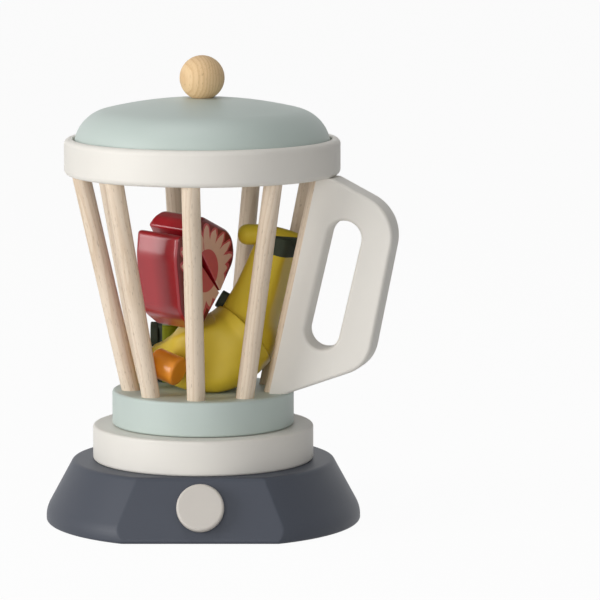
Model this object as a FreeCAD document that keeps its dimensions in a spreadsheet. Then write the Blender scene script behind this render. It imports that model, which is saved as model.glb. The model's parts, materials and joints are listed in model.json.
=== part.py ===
import FreeCAD, Part
import math
import os
import re
import Sketcher

# Toy blender, in millimetres. +Z is up, the origin is the centre of the base's
# underside, and the sloped flat with the knob faces -Y. The jar is a cage of
# leaning dowels between a floor disc and a top ring; it lifts off a pedestal,
# and the lid lifts off the jar.

Vector, Rotation, Placement = FreeCAD.Vector, FreeCAD.Rotation, FreeCAD.Placement
X_DIR, Y_DIR, Z_DIR = Vector(1, 0, 0), Vector(0, 1, 0), Vector(0, 0, 1)

SIZES = {
    # running, seating and glue clearances
    "seat_gap": 0.3,
    "glue_gap": 0.1,
    "running_gap": 0.06,
    "edge_round": 1.5,
    # base block: a cone on a short straight foot, with one sloped flat
    "base_radius": 86.7,
    "base_taper": 14.9,
    "base_height": 34.0,
    "base_foot_height": 6.5,
    "base_waist_round": 14.0,
    "base_top_round": 2.5,
    "facet_foot_cut": 10.4,
    "facet_head_cut": 8.5,
    "facet_round": 2.0,
    # pedestal disc and what joins it to the block
    "pedestal_step": 11.05,
    "pedestal_thickness": 19.2,
    "peg_radius": 10.0,
    "peg_depth": 20.0,
    "peg_stand": 8.0,
    "glue_dowel_radius": 3.0,
    "glue_dowel_length": 24.0,
    "glue_dowel_reach": 36.0,
    # knob
    "knob_radius": 12.8,
    "knob_thickness": 6.0,
    "knob_height": 18.0,
    "knob_bore_depth": 4.2,
    "shaft_radius": 4.0,
    "shaft_depth": 26.0,
    "groove_depth": 17.0,
    "groove_width": 4.6,
    "groove_radius": 2.4,
    "shaft_pin_radius": 2.0,
    "shaft_pin_rise": 8.0,
    "shaft_pin_drop": 10.0,
    # jar
    "jar_turn": -14.0,
    "floor_radius": 50.0,
    "floor_thickness": 19.0,
    "cage_height": 119.0,
    "dowel_count": 9,
    "dowel_radius": 5.0,
    "dowel_foot_radius": 39.9,
    "dowel_head_radius": 66.4,
    "dowel_foot_depth": 11.0,
    "dowel_head_depth": 9.0,
    "bore_lead": 3.0,
    "ring_radius": 75.6,
    "ring_bore_radius": 57.5,
    "ring_height": 19.8,
    "ring_round": 3.0,
    "rebate_radius": 70.9,
    "rebate_depth": 3.0,
    # handle plate
    "handle_thickness": 18.0,
    "handle_foot_reach": 49.3,
    "handle_low_reach": 94.9,
    "handle_low_rise": 16.7,
    "handle_low_round": 20.0,
    "handle_top_reach": 111.8,
    "handle_top_drop": 18.3,
    "handle_top_round": 24.0,
    "handle_shoulder_reach": 76.1,
    "handle_edge_round": 2.0,
    "grip_low_reach": 69.5,
    "grip_low_rise": 35.1,
    "grip_high_reach": 81.6,
    "grip_high_rise": 86.6,
    "grip_radius": 9.6,
    "handle_pin_radius": 2.0,
    "handle_pin_length": 20.0,
    "handle_pin_low": 12.0,
    "handle_pin_high": 108.0,
    # lid
    "lid_radius": 70.3,
    "lid_rise": 24.7,
    "lid_crown": 230.0,
    "lid_corner": 21.4,
    "plug_radius": 57.0,
    "plug_depth": 8.0,
    "ball_radius": 12.3,
    "ball_flat_radius": 5.2,
    "ball_spot_depth": 0.3,
    "ball_pin_radius": 3.0,
    "ball_pin_length": 19.0,
    # play food, loose in the jar; rises count from the jar's floor
    "berry_tip_x": -0.5,
    "berry_tip_y": -17.6,
    "berry_tip_rise": 35.2,
    "berry_turn": 52.0,
    "berry_tilt": 3.0,
    "berry_depth": 29.7,
    "green_x": -18.7,
    "green_y": 25.9,
    "green_radius": 8.0,
    "green_height": 32.4,
    "stub_x": -25.9,
    "stub_y": -18.15,
    "stub_rise": 17.8,
    "stub_radius": 8.1,
    "stub_length": 16.5,
    "stub_turn": -29.8,
    "stub_dip": 16.3,
    "part_x": 22.8,
    "part_rise": 30.2,
    "part_slope": 48.6,
    "slant_reach": 50.0,
}

# Lines of the play food, a row a station. Banana: place (x, y, rise) and radius of the
# round section. Berry: corner (across, up) of the face and the round on it.
LINES = {
    "chunk": ("xyzr", ((-28.2, 6, 19.8, 2.5), (-26.2, 6, 19.6, 5), (-21.1, 5, 18.6, 9.2),
                       (-12.2, 2.5, 18.2, 16), (2.4, -2, 20.8, 20.8), (12.7, -2, 23, 21.8),
                       (20.8, 0, 28.8, 21), (30, 1, 38.2, 20.5))),
    "top": ("xyzr", ((14, 1, 19.2, 20.3), (22.7, 1, 29.9, 19.4), (26, 1, 40.3, 16.6),
                     (31.6, 1, 54.4, 14.1), (37.3, 1, 71.1, 12.2), (40.2, 1, 79, 11.5),
                     (41.2, 1, 84.2, 11))),
    "stem": ("xyzr", ((19.1, 1, 85.4, 2.6), (20.6, 1, 85.4, 4.6), (25, 1, 85.4, 5.8),
                      (33, 1, 85.2, 5.7), (41, 1, 84.3, 5.2), (47, 1, 83.2, 4.6),
                      (51.6, 1, 82.3, 3.9))),
    "crown": ("aur", ((14.9, 19.8, 0.8), (27.6, 36.4, 13), (24.5, 51.1, 8), (-1.4, 62.4, 5),
                      (-12.4, 55.5, 1.2))),
    "cheek": ("aur", ((14.65, 19.5, 1), (-20.7, 53.6, 1.2), (-22.9, 40.5, 30),
                      (-15.2, 11.1, 18), (-1.4, -1.5, 5))),
}
for line, (keys, rows) in LINES.items():
    for n, row in enumerate(rows):
        SIZES.update({f"{line}_{key}{n}": float(number) for key, number in zip(keys, row)})

doc = FreeCAD.newDocument("ToyBlender")
sheet = doc.addObject("Spreadsheet::Sheet", "Sizes")
for row, (name, number) in enumerate(SIZES.items(), start=1):
    sheet.set(f"A{row}", name)
    sheet.set(f"B{row}", str(number))
    sheet.setAlias(f"B{row}", name)
doc.recompute()


# ---------------------------------------------------------------- helpers

def value(expression):
    """The number that an expression over the sheet's names gives."""
    return float(sheet.evalExpression(expression))


def bind(target, path, expression):
    """Bind a property or a constraint to an expression over the sheet's names."""
    target.setExpression(path, re.sub(
        r"[a-z_]+\d*", lambda m: f"Sizes.{m[0]}" if m[0] in SIZES else m[0], expression))


def new_body(label, placement=None):
    """A PartDesign body with its own Label and Placement."""
    body = doc.addObject("PartDesign::Body", label)
    body.Label = label
    body.Placement = placement or Placement()
    return body


def origin_feature(body, role):
    return next(o for o in body.Origin.OriginFeatures if o.Role == role)


def new_sketch(body, role="XY_Plane", offset=None):
    """An empty sketch on one of the body's origin planes."""
    sketch = body.newObject("Sketcher::SketchObject", f"{body.Label}_sketch")
    sketch.AttachmentSupport = [(origin_feature(body, role), "")]
    sketch.MapMode = "FlatFace"
    sketch.AttachmentOffset = offset or Placement()
    return sketch


def place_point(sketch, geo, pos, across, up):
    """Hold one point of the sketch at bound distances from the sketch's origin."""
    for kind, axis, expression in (("DistanceX", -2, across), ("DistanceY", -1, up)):
        if expression == "0":
            sketch.addConstraint(Sketcher.Constraint("PointOnObject", geo, pos, axis))
            continue
        index = sketch.addConstraint(
            Sketcher.Constraint(kind, -1, 1, geo, pos, value(expression)))
        bind(sketch, f"Constraints[{index}]", expression)


def draw_circle(sketch, radius, across="0", up="0"):
    centre = Vector(value(across), value(up), 0)
    geo = sketch.addGeometry(Part.Circle(centre, Z_DIR, value(radius)))
    index = sketch.addConstraint(Sketcher.Constraint("Radius", geo, value(radius)))
    bind(sketch, f"Constraints[{index}]", radius)
    place_point(sketch, geo, 3, across, up)
    return geo


def draw_outline(sketch, corners):
    """A closed polygon with every corner bound."""
    points = [Vector(value(a), value(b), 0) for a, b in corners]
    count = len(points)
    for i in range(count):
        sketch.addGeometry(Part.LineSegment(points[i], points[(i + 1) % count]))
    for i in range(count):
        sketch.addConstraint(Sketcher.Constraint("Coincident", i, 2, (i + 1) % count, 1))
    for i, (across, up) in enumerate(corners):
        place_point(sketch, i, 1, across, up)


def pad(body, sketch, length, symmetric=False):
    feature = body.newObject("PartDesign::Pad", f"{body.Label}_pad")
    feature.Profile = sketch
    feature.SideType = "Symmetric" if symmetric else "One side"
    bind(feature, "Length", length)
    return feature


def pocket(body, sketch, length=None, symmetric=False, along_normal=False):
    """A pocket; without a length it goes through everything."""
    feature = body.newObject("PartDesign::Pocket", f"{body.Label}_pocket")
    feature.Profile = sketch
    feature.SideType = "Symmetric" if symmetric else "One side"
    feature.Reversed = along_normal
    if length is None:
        feature.Type = "ThroughAll"
    else:
        bind(feature, "Length", length)
    return feature


def revolve(body, sketch, axis="V_Axis"):
    feature = body.newObject("PartDesign::Revolution", f"{body.Label}_turned")
    feature.Profile = sketch
    feature.ReferenceAxis = (sketch, [axis])
    feature.Angle = 360.0
    return feature


def turn_groove(body, sketch, axis="V_Axis"):
    feature = body.newObject("PartDesign::Groove", f"{body.Label}_groove")
    feature.Profile = sketch
    feature.ReferenceAxis = (sketch, [axis])
    feature.Angle = 360.0
    return feature


def repeat_round(body, feature, count):
    """Repeat a feature about the body's Z axis."""
    pattern = body.newObject("PartDesign::PolarPattern", f"{body.Label}_pattern")
    pattern.Originals = [feature]
    pattern.Axis = (origin_feature(body, "Z_Axis"), [""])
    pattern.Angle = 360.0
    bind(pattern, "Occurrences", count)
    body.Tip = pattern
    return pattern


def round_edges(body, chosen, radius, kind="Fillet"):
    """Fillet or chamfer the tip's edges that the test picks."""
    doc.recompute()
    tip = body.Tip
    names = [f"Edge{i}" for i, edge in enumerate(tip.Shape.Edges, start=1) if chosen(edge)]
    if not names:
        raise RuntimeError(f"{body.Label}: no edge to round")
    feature = body.newObject(f"PartDesign::{kind}", f"{body.Label}_{kind.lower()}")
    feature.Base = (tip, names)
    bind(feature, "Radius" if kind == "Fillet" else "Size", radius)
    return feature


def midpoint(edge):
    first, last = edge.ParameterRange
    return edge.valueAt((first + last) / 2)


def is_ring(edge, radius, height, near=0.01):
    """True for a level circle of that radius and height about the body's Z axis."""
    curve = edge.Curve
    return (isinstance(curve, Part.Circle) and abs(curve.Radius - radius) < near
            and abs(curve.Center.z - height) < near
            and math.hypot(curve.Center.x, curve.Center.y) < near)


def plain_dowel(label, radius, length, placement, ends="edge_round / 3"):
    """A straight round pin along its own Z, with both ends eased."""
    body = new_body(label, placement)
    sketch = new_sketch(body)
    draw_circle(sketch, radius)
    pad(body, sketch, length)
    round_edges(body, lambda e: isinstance(e.Curve, Part.Circle), ends, "Chamfer")
    return body


def turned_disc(label, radius, thickness, placement):
    """A flat disc on its own XY plane, with both rims eased."""
    body = new_body(label, placement)
    sketch = new_sketch(body)
    draw_circle(sketch, radius)
    pad(body, sketch, thickness)
    round_edges(body, lambda e: isinstance(e.Curve, Part.Circle), "edge_round")
    return body


def bore(body, radius, depth, offset, along_normal=False):
    """A round blind hole from the plane at offset."""
    sketch = new_sketch(body, offset=offset)
    draw_circle(sketch, radius)
    return pocket(body, sketch, depth, along_normal=along_normal)


# ---------------------------------------------------------------- base

BASE_TOP = "( base_radius - base_taper )"
FACET_FOOT = "( base_radius - facet_foot_cut )"
FACET_HEAD = "( base_radius - base_taper - facet_head_cut )"
PEDESTAL = "( base_radius - base_taper - pedestal_step )"

block = new_body("base_block")
profile = new_sketch(block, "XZ_Plane")
draw_outline(profile, [
    ("0", "0"),
    ("base_radius", "0"),
    ("base_radius", "base_foot_height"),
    (BASE_TOP, "base_height"),
    ("0", "base_height"),
])
revolve(block, profile)
round_edges(block, lambda e: is_ring(e, value("base_radius"), value("base_foot_height")),
            "base_waist_round")

# The flat slopes back from foot to head; the cut runs one base height past both ends.
facet_cut = new_sketch(block, "YZ_Plane")
draw_outline(facet_cut, [
    (f"{FACET_HEAD} - 2 * {FACET_FOOT}", "0 - base_height"),
    (f"{FACET_FOOT} - 2 * {FACET_HEAD}", "2 * base_height"),
    ("0 - 2 * base_radius", "2 * base_height"),
    ("0 - 2 * base_radius", "0 - base_height"),
])
pocket(block, facet_cut, symmetric=True)

facet_lean = value(f"{FACET_FOOT} - {FACET_HEAD}")
facet_slope = math.atan2(facet_lean, value("base_height"))
facet_out = Vector(0, -math.cos(facet_slope), math.sin(facet_slope))
facet_up = Vector(0, math.sin(facet_slope), math.cos(facet_slope))
knob_share = value("knob_height / base_height")
knob_point = Vector(0, knob_share * facet_lean - value(FACET_FOOT), value("knob_height"))


def on_facet(edge):
    return all(abs((v.Point - knob_point).dot(facet_out)) < 0.01 for v in edge.Vertexes)


def is_crease(edge):
    heights = [v.Point.z for v in edge.Vertexes]
    return on_facet(edge) and max(heights) - min(heights) > 1.0


round_edges(block, is_crease, "facet_round")
round_edges(block, lambda e: all(abs(v.Point.z - value("base_height")) < 0.01
                                 for v in e.Vertexes), "base_top_round")
round_edges(block, lambda e: all(abs(v.Point.z) < 0.01 for v in e.Vertexes), "edge_round")

# Knob frame: origin on the flat, Z square out of it, Y up the slope.
knob_frame = Placement(knob_point, Rotation(X_DIR, facet_up, facet_out, "ZXY"))


def at(frame, x=0.0, y=0.0, z=0.0):
    """The frame moved along its own axes."""
    return frame.multiply(Placement(Vector(x, y, z), Rotation()))


bore(block, "shaft_radius + running_gap", "shaft_depth + seat_gap", knob_frame)

groove_middle = value("groove_depth + groove_width / 2")
pin_offset = value("groove_radius + seat_gap + shaft_pin_radius")
pin_frame = knob_frame.multiply(Placement(
    Vector(pin_offset, 0, -groove_middle), Rotation(X_DIR, -90)))
bore(block, "shaft_pin_radius + glue_gap / 2", "shaft_pin_rise + base_height",
     at(pin_frame, z=value("shaft_pin_rise + glue_gap")))

bore(block, "peg_radius + glue_gap", "peg_depth + seat_gap",
     at(Placement(), z=value("base_height")))
for side in (-1, 1):
    spot = Vector(side * value("glue_dowel_reach"), 0, value("base_height"))
    bore(block, "glue_dowel_radius + glue_gap", "glue_dowel_length / 2 + seat_gap",
         Placement(spot, Rotation()))

pedestal = turned_disc("pedestal_disc", PEDESTAL, "pedestal_thickness",
                       Placement(Vector(0, 0, value("base_height")), Rotation()))
hole = new_sketch(pedestal)
draw_circle(hole, "peg_radius + glue_gap")
pocket(pedestal, hole, along_normal=True)
for side in ("0 - glue_dowel_reach", "glue_dowel_reach"):
    hole = new_sketch(pedestal)
    draw_circle(hole, "glue_dowel_radius + glue_gap", side)
    pocket(pedestal, hole, "glue_dowel_length / 2 + seat_gap", along_normal=True)

plain_dowel("locating_peg", "peg_radius", "peg_depth + pedestal_thickness + peg_stand",
            Placement(Vector(0, 0, value("base_height - peg_depth")), Rotation()),
            "edge_round")
for number, side in ((1, -1), (2, 1)):
    plain_dowel(f"glue_dowel_{number}", "glue_dowel_radius", "glue_dowel_length",
                Placement(Vector(side * value("glue_dowel_reach"), 0,
                                 value("base_height - glue_dowel_length / 2")), Rotation()))

# ---------------------------------------------------------------- knob

knob = turned_disc("knob_disc", "knob_radius", "knob_thickness",
                   at(knob_frame, z=value("seat_gap")))
bore(knob, "shaft_radius + glue_gap", "knob_bore_depth", Placement(), along_normal=True)

shaft = plain_dowel("knob_shaft", "shaft_radius", "shaft_depth + knob_bore_depth",
                    at(knob_frame, z=value("0 - shaft_depth")))
groove = new_sketch(shaft, "XZ_Plane")
draw_outline(groove, [
    ("groove_radius", "shaft_depth - groove_depth - groove_width"),
    ("2 * shaft_radius", "shaft_depth - groove_depth - groove_width"),
    ("2 * shaft_radius", "shaft_depth - groove_depth"),
    ("groove_radius", "shaft_depth - groove_depth"),
])
turn_groove(shaft, groove)

plain_dowel("shaft_pin", "shaft_pin_radius", "shaft_pin_rise + shaft_pin_drop",
            at(pin_frame, z=value("0 - shaft_pin_drop")))

# ---------------------------------------------------------------- jar

# Jar frame: origin under the floor disc, X towards the handle.
jar_frame = Placement(
    Vector(0, 0, value("base_height + pedestal_thickness + seat_gap")),
    Rotation(Z_DIR, value("jar_turn")))
lean = math.degrees(math.atan2(value("dowel_head_radius - dowel_foot_radius"),
                               value("cage_height")))
lean_turn = Rotation(Y_DIR, lean)
# Slanted length of a dowel between the floor disc and the ring.
SLANT = "sqrt( cage_height ^ 2 + ( dowel_head_radius - dowel_foot_radius ) ^ 2 )"
# Each leaning bore starts a lead outside the disc, so that its whole mouth opens.

floor = turned_disc("jar_floor", "floor_radius", "floor_thickness", jar_frame)
bore(floor, "peg_radius + seat_gap + glue_gap", "peg_stand + seat_gap", Placement(),
     along_normal=True)
foot_frame = Placement(Vector(value("dowel_foot_radius"), 0, value("floor_thickness")),
                       lean_turn)
foot_bore = bore(floor, "dowel_radius + glue_gap",
                 "dowel_foot_depth + seat_gap + bore_lead",
                 at(foot_frame, z=value("bore_lead")))
repeat_round(floor, foot_bore, "dowel_count")

ring_frame = at(jar_frame, z=value("floor_thickness + cage_height"))
ring = new_body("top_ring", ring_frame)
profile = new_sketch(ring, "XZ_Plane")
draw_outline(profile, [
    ("ring_bore_radius", "0"),
    ("ring_radius", "0"),
    ("ring_radius", "ring_height"),
    ("rebate_radius", "ring_height"),
    ("rebate_radius", "ring_height - rebate_depth"),
    ("ring_bore_radius", "ring_height - rebate_depth"),
])
revolve(ring, profile)
round_edges(ring, lambda e: any(is_ring(e, value("ring_radius"), value(h))
                                for h in ("0", "ring_height")), "ring_round")
round_edges(ring, lambda e: is_ring(e, value("ring_bore_radius"), 0)
            or is_ring(e, value("rebate_radius"), value("ring_height")), "edge_round / 2")
head_frame = Placement(Vector(value("dowel_head_radius"), 0, 0), lean_turn)
head_bore = bore(ring, "dowel_radius + glue_gap",
                 "dowel_head_depth + seat_gap + bore_lead",
                 at(head_frame, z=-value("bore_lead")), along_normal=True)
repeat_round(ring, head_bore, "dowel_count")

dowels = []
for number in range(int(value("dowel_count"))):
    turn = Placement(Vector(), Rotation(Z_DIR, number * 360 / value("dowel_count")))
    frame = jar_frame.multiply(turn).multiply(at(foot_frame, z=-value("dowel_foot_depth")))
    dowels.append(plain_dowel(f"dowel_{number + 1}", "dowel_radius",
                              f"dowel_foot_depth + {SLANT} + dowel_head_depth", frame))

# ---------------------------------------------------------------- handle

HANDLE_TOP = "floor_thickness + cage_height"
handle = new_body("handle_plate", jar_frame)
outline = new_sketch(handle, "XZ_Plane")
draw_outline(outline, [
    ("dowel_foot_radius", "floor_thickness"),
    ("handle_foot_reach", "floor_thickness"),
    ("handle_low_reach", "floor_thickness + handle_low_rise"),
    ("handle_top_reach", f"{HANDLE_TOP} - handle_top_drop"),
    ("handle_shoulder_reach", HANDLE_TOP),
    ("dowel_head_radius", HANDLE_TOP),
])
pad(handle, outline, "handle_thickness", symmetric=True)


def at_corner(edge, reach, height):
    """True for the edge through the plate's thickness at that corner of the outline."""
    ends = [v.Point for v in edge.Vertexes]
    return len(ends) == 2 and all(
        abs(p.x - value(reach)) < 0.01 and abs(p.z - value(height)) < 0.01 for p in ends)


round_edges(handle, lambda e: at_corner(e, "handle_low_reach",
                                        "floor_thickness + handle_low_rise"),
            "handle_low_round")
round_edges(handle, lambda e: at_corner(e, "handle_top_reach",
                                        f"{HANDLE_TOP} - handle_top_drop"),
            "handle_top_round")

# Finger slot: two round ends and their common outer tangents.
slot = new_sketch(handle, "XZ_Plane")
low = Vector(value("grip_low_reach"), value("floor_thickness + grip_low_rise"), 0)
high = Vector(value("grip_high_reach"), value("floor_thickness + grip_high_rise"), 0)
along = (high - low).normalize()
side = Vector(along.y, -along.x, 0) * value("grip_radius")
heading = math.atan2(along.y, along.x)
slot.addGeometry(Part.ArcOfCircle(Part.Circle(high, Z_DIR, value("grip_radius")),
                                  heading - math.pi / 2, heading + math.pi / 2))
slot.addGeometry(Part.LineSegment(high - side, low - side))
slot.addGeometry(Part.ArcOfCircle(Part.Circle(low, Z_DIR, value("grip_radius")),
                                  heading + math.pi / 2, heading + 3 * math.pi / 2))
slot.addGeometry(Part.LineSegment(low + side, high + side))
for first in range(4):
    slot.addConstraint(Sketcher.Constraint("Tangent", first, 2, (first + 1) % 4, 1))
place_point(slot, 0, 3, "grip_high_reach", "floor_thickness + grip_high_rise")
place_point(slot, 2, 3, "grip_low_reach", "floor_thickness + grip_low_rise")
index = slot.addConstraint(Sketcher.Constraint("Radius", 0, value("grip_radius")))
bind(slot, f"Constraints[{index}]", "grip_radius")
pocket(handle, slot, symmetric=True)


def on_free_rim(edge):
    """True for an edge of a broad face, away from the dowel and both seats."""
    middle = midpoint(edge)
    inner = value("dowel_foot_radius") + (middle.z - value("floor_thickness")) * math.tan(
        math.radians(lean))
    return (abs(abs(middle.y) - value("handle_thickness / 2")) < 0.01
            and middle.x > inner + 0.1
            and value("floor_thickness") + 0.1 < middle.z < value(HANDLE_TOP) - 0.1)


round_edges(handle, on_free_rim, "handle_edge_round")
cove = new_sketch(handle, offset=foot_frame)
draw_circle(cove, "dowel_radius + glue_gap")
pocket(handle, cove, symmetric=True)

# The handle pins stand square to the dowel, through it and into the plate.
pin_turn = Rotation(Y_DIR, 90)
for number, rise in ((1, "handle_pin_low"), (2, "handle_pin_high")):
    axis = at(foot_frame, z=value(rise)).multiply(Placement(Vector(), pin_turn))
    bore(handle, "handle_pin_radius + glue_gap", "handle_pin_length + seat_gap",
         at(axis, z=-value("dowel_radius")), along_normal=True)
    cross = new_sketch(dowels[0], "YZ_Plane")
    draw_circle(cross, "handle_pin_radius + glue_gap", "0", f"dowel_foot_depth + {rise}")
    pocket(dowels[0], cross, symmetric=True)
    start = at(axis, z=value("0 - dowel_radius + edge_round"))
    plain_dowel(f"handle_pin_{number}", "handle_pin_radius",
                "handle_pin_length - edge_round", jar_frame.multiply(start))

# ---------------------------------------------------------------- lid

# Height of the ball's centre over its ground flat.
BALL_CENTRE = "sqrt( ball_radius ^ 2 - ball_flat_radius ^ 2 )"
lid_frame = at(ring_frame, z=value("ring_height - rebate_depth + seat_gap"))
lid = new_body("lid_dome", lid_frame)
profile = new_sketch(lid, "XZ_Plane")
rim, crown, corner = value("lid_radius"), value("lid_crown"), value("lid_corner")
top = value("lid_rise")
# The rim's round starts level with the rim and runs tangent into the crown.
corner_x = rim - corner
corner_z = top - crown + math.sqrt((crown - corner) ** 2 - corner_x ** 2)
rim_angle = math.asin(max(-1.0, min(1.0, -corner_z / corner)))
meet_angle = math.atan2(corner_z - (top - crown), corner_x)
meet = Vector(corner_x + corner * math.cos(meet_angle),
              corner_z + corner * math.sin(meet_angle), 0)
plug = [Vector(0, top, 0), Vector(0, -value("plug_depth"), 0),
        Vector(value("plug_radius"), -value("plug_depth"), 0),
        Vector(value("plug_radius"), 0, 0),
        Vector(corner_x + corner * math.cos(rim_angle), 0, 0)]
for start, end in zip(plug, plug[1:]):
    profile.addGeometry(Part.LineSegment(start, end))
profile.addGeometry(Part.ArcOfCircle(
    Part.Circle(Vector(corner_x, corner_z, 0), Z_DIR, corner), rim_angle, meet_angle))
profile.addGeometry(Part.ArcOfCircle(
    Part.Circle(Vector(0, top - crown, 0), Z_DIR, crown), meet_angle, math.pi / 2))
for first in range(4):
    profile.addConstraint(Sketcher.Constraint(
        "Coincident", first, 2, first + 1, 1))
profile.addConstraint(Sketcher.Constraint("Tangent", 4, 2, 5, 1))
profile.addConstraint(Sketcher.Constraint("Coincident", 5, 2, 0, 1))
for geo, (across, up) in enumerate((("0", "lid_rise"), ("0", "0 - plug_depth"),
                                    ("plug_radius", "0 - plug_depth"),
                                    ("plug_radius", "0"))):
    place_point(profile, geo, 1, across, up)
for geo, radius in ((4, "lid_corner"), (5, "lid_crown")):
    index = profile.addConstraint(Sketcher.Constraint("Radius", geo, value(radius)))
    bind(profile, f"Constraints[{index}]", radius)
profile.addConstraint(Sketcher.Constraint("PointOnObject", 5, 3, -2))
profile.addConstraint(Sketcher.Constraint("PointOnObject", 4, 1, -1))
index = profile.addConstraint(Sketcher.Constraint("DistanceX", -1, 1, 4, 3, corner_x))
bind(profile, f"Constraints[{index}]", "lid_radius - lid_corner")
revolve(lid, profile)
bore(lid, f"sqrt( ball_radius ^ 2 - ( {BALL_CENTRE} - ball_spot_depth ) ^ 2 ) + glue_gap",
     "ball_spot_depth", at(Placement(), z=top))
bore(lid, "ball_pin_radius + glue_gap", "ball_pin_length / 2 + seat_gap",
     at(Placement(), z=top - value("ball_spot_depth")))

ball_frame = at(lid_frame, z=value("lid_rise - ball_spot_depth"))
ball = new_body("lid_ball", ball_frame)
profile = new_sketch(ball, "XZ_Plane")
centre, radius = Vector(0, value(BALL_CENTRE), 0), value("ball_radius")
flat = Vector(value("ball_flat_radius"), 0, 0)
pole = centre + Vector(0, radius, 0)
profile.addGeometry(Part.LineSegment(pole, Vector(0, 0, 0)))
profile.addGeometry(Part.LineSegment(Vector(0, 0, 0), flat))
profile.addGeometry(Part.ArcOfCircle(Part.Circle(centre, Z_DIR, radius),
                                     math.atan2(-centre.y, flat.x), math.pi / 2))
for first in range(3):
    profile.addConstraint(Sketcher.Constraint("Coincident", first, 2, (first + 1) % 3, 1))
profile.addConstraint(Sketcher.Constraint("Coincident", 1, 1, -1, 1))
profile.addConstraint(Sketcher.Constraint("PointOnObject", 0, 1, -2))
profile.addConstraint(Sketcher.Constraint("PointOnObject", 2, 3, -2))
place_point(profile, 1, 2, "ball_flat_radius", "0")
index = profile.addConstraint(Sketcher.Constraint("Radius", 2, radius))
bind(profile, f"Constraints[{index}]", "ball_radius")
revolve(ball, profile)
bore(ball, "ball_pin_radius + glue_gap", "ball_pin_length / 2 + seat_gap", Placement(),
     along_normal=True)
plain_dowel("ball_pin", "ball_pin_radius", "ball_pin_length",
            at(ball_frame, z=value("0 - ball_pin_length / 2")))

# ---------------------------------------------------------------- play food

food_floor = value("base_height + pedestal_thickness + 2 * seat_gap + floor_thickness")
food_frame = Placement(Vector(0, 0, food_floor), Rotation())


def on_slab_face(edge):
    """True for an edge round one of the two faces of a berry slab."""
    levels = [vertex.Point.y for vertex in edge.Vertexes]
    return max(levels) - min(levels) < 0.01 and min(
        abs(levels[0]), abs(levels[0] - value("berry_depth"))) < 0.01


def berry_piece(label, line):
    """A slab of the berry: its outline on the face at local y = 0, every corner rounded,
    and both faces' edges eased."""
    body = new_body(label, Placement(
        Vector(value("berry_tip_x"), value("berry_tip_y"),
               food_floor + value("berry_tip_rise")),
        Rotation(Z_DIR, value("berry_turn")).multiply(Rotation(X_DIR, value("berry_tilt")))))
    sketch = new_sketch(body, "XZ_Plane")
    count = len(LINES[line][1])
    draw_outline(sketch, [(f"{line}_a{n}", f"{line}_u{n}") for n in range(count)])
    pad(body, sketch, "berry_depth").Reversed = True
    for n in range(count):
        round_edges(body, lambda e: at_corner(e, f"{line}_a{n}", f"{line}_u{n}"),
                    f"{line}_r{n}")
    round_edges(body, on_slab_face, "edge_round / 2")


def round_loft(body, line):
    """A loft through the line's stations, each circle square to the way past it."""
    rows = range(len(LINES[line][1]))
    points = [Vector(*(value(f"{line}_{axis}{n}") for axis in "xyz")) for n in rows]
    sections = []
    for n in rows:
        ahead = points[min(n + 1, rows[-1])] - points[max(n - 1, 0)]
        section = new_sketch(body, offset=Placement(points[n], Rotation(Z_DIR, ahead)))
        for axis in "xyz":
            bind(section, f"AttachmentOffset.Base.{axis}", f"{line}_{axis}{n}")
        draw_circle(section, f"{line}_r{n}")
        sections.append(section)
    loft = body.newObject("PartDesign::AdditiveLoft", f"{line}_loft")
    loft.Profile = sections[0]
    loft.Sections = sections[1:]


def cut_slant(body, start, side):
    """Cut away one side of the slant: a line in XZ through (part_x, part_rise) that falls
    towards +X. The cut starts that far along the slant's normal and grows to the side."""
    run, sine, cosine = "slant_reach", "sin( part_slope )", "cos( part_slope )"
    sketch = new_sketch(body, "XZ_Plane")
    draw_outline(sketch, [
        (f"part_x + {way} * {run} * {cosine} + ( {off} ) * {sine}",
         f"part_rise - {way} * {run} * {sine} + ( {off} ) * {cosine}")
        for way, off in ((-1, start), (1, start), (1, f"{start} + {side} * {run}"),
                         (-1, f"{start} + {side} * {run}"))])
    pocket(body, sketch, symmetric=True)


berry_piece("strawberry_half", "crown")
berry_piece("strawberry_cheek", "cheek")

turned_disc("green_chunk", "green_radius", "green_height",
            at(food_frame, value("green_x"), value("green_y"), value("glue_gap")))
plain_dowel("orange_stub", "stub_radius", "stub_length", Placement(
    Vector(value("stub_x"), value("stub_y"), food_floor + value("stub_rise")),
    Rotation(Z_DIR, value("stub_turn")).multiply(
        Rotation(Y_DIR, 90 + value("stub_dip")))), "edge_round")

chunk = new_body("banana_chunk", food_frame)
round_loft(chunk, "chunk")
cut_slant(chunk, "0 - seat_gap", "1")

top_piece = new_body("banana_top", food_frame)
round_loft(top_piece, "top")
round_loft(top_piece, "stem")
cut_slant(top_piece, "0", "0 - 1")

# ---------------------------------------------------------------- checks and export

doc.recompute()
for obj in doc.Objects:
    if {"Invalid", "Error"} & set(obj.State):
        raise RuntimeError(f"{obj.Label} failed: {obj.State}")
bodies = [obj for obj in doc.Objects if obj.TypeId == "PartDesign::Body"]
for body in bodies:
    if body.Shape.isNull() or not body.Shape.isValid() or len(body.Shape.Solids) != 1:
        raise RuntimeError(f"{body.Label}: shape isn't one valid solid")
os.makedirs("parts", exist_ok=True)
for body in bodies:
    body.Shape.exportStep(f"parts/{body.Label}.step")
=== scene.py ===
"""Finish of the wooden toy blender, worked out around its packed construction.

Lengths are in metres, and in millimetres where a comment says so. Each piece is worked out in its
own frame, with the grain of its wood along Z or X, and put in place by a matrix.
"""
import json
import math

import bpy
import numpy as np
from bpy.props import FloatProperty, FloatVectorProperty, PointerProperty
from mathutils import Matrix, Vector


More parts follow.
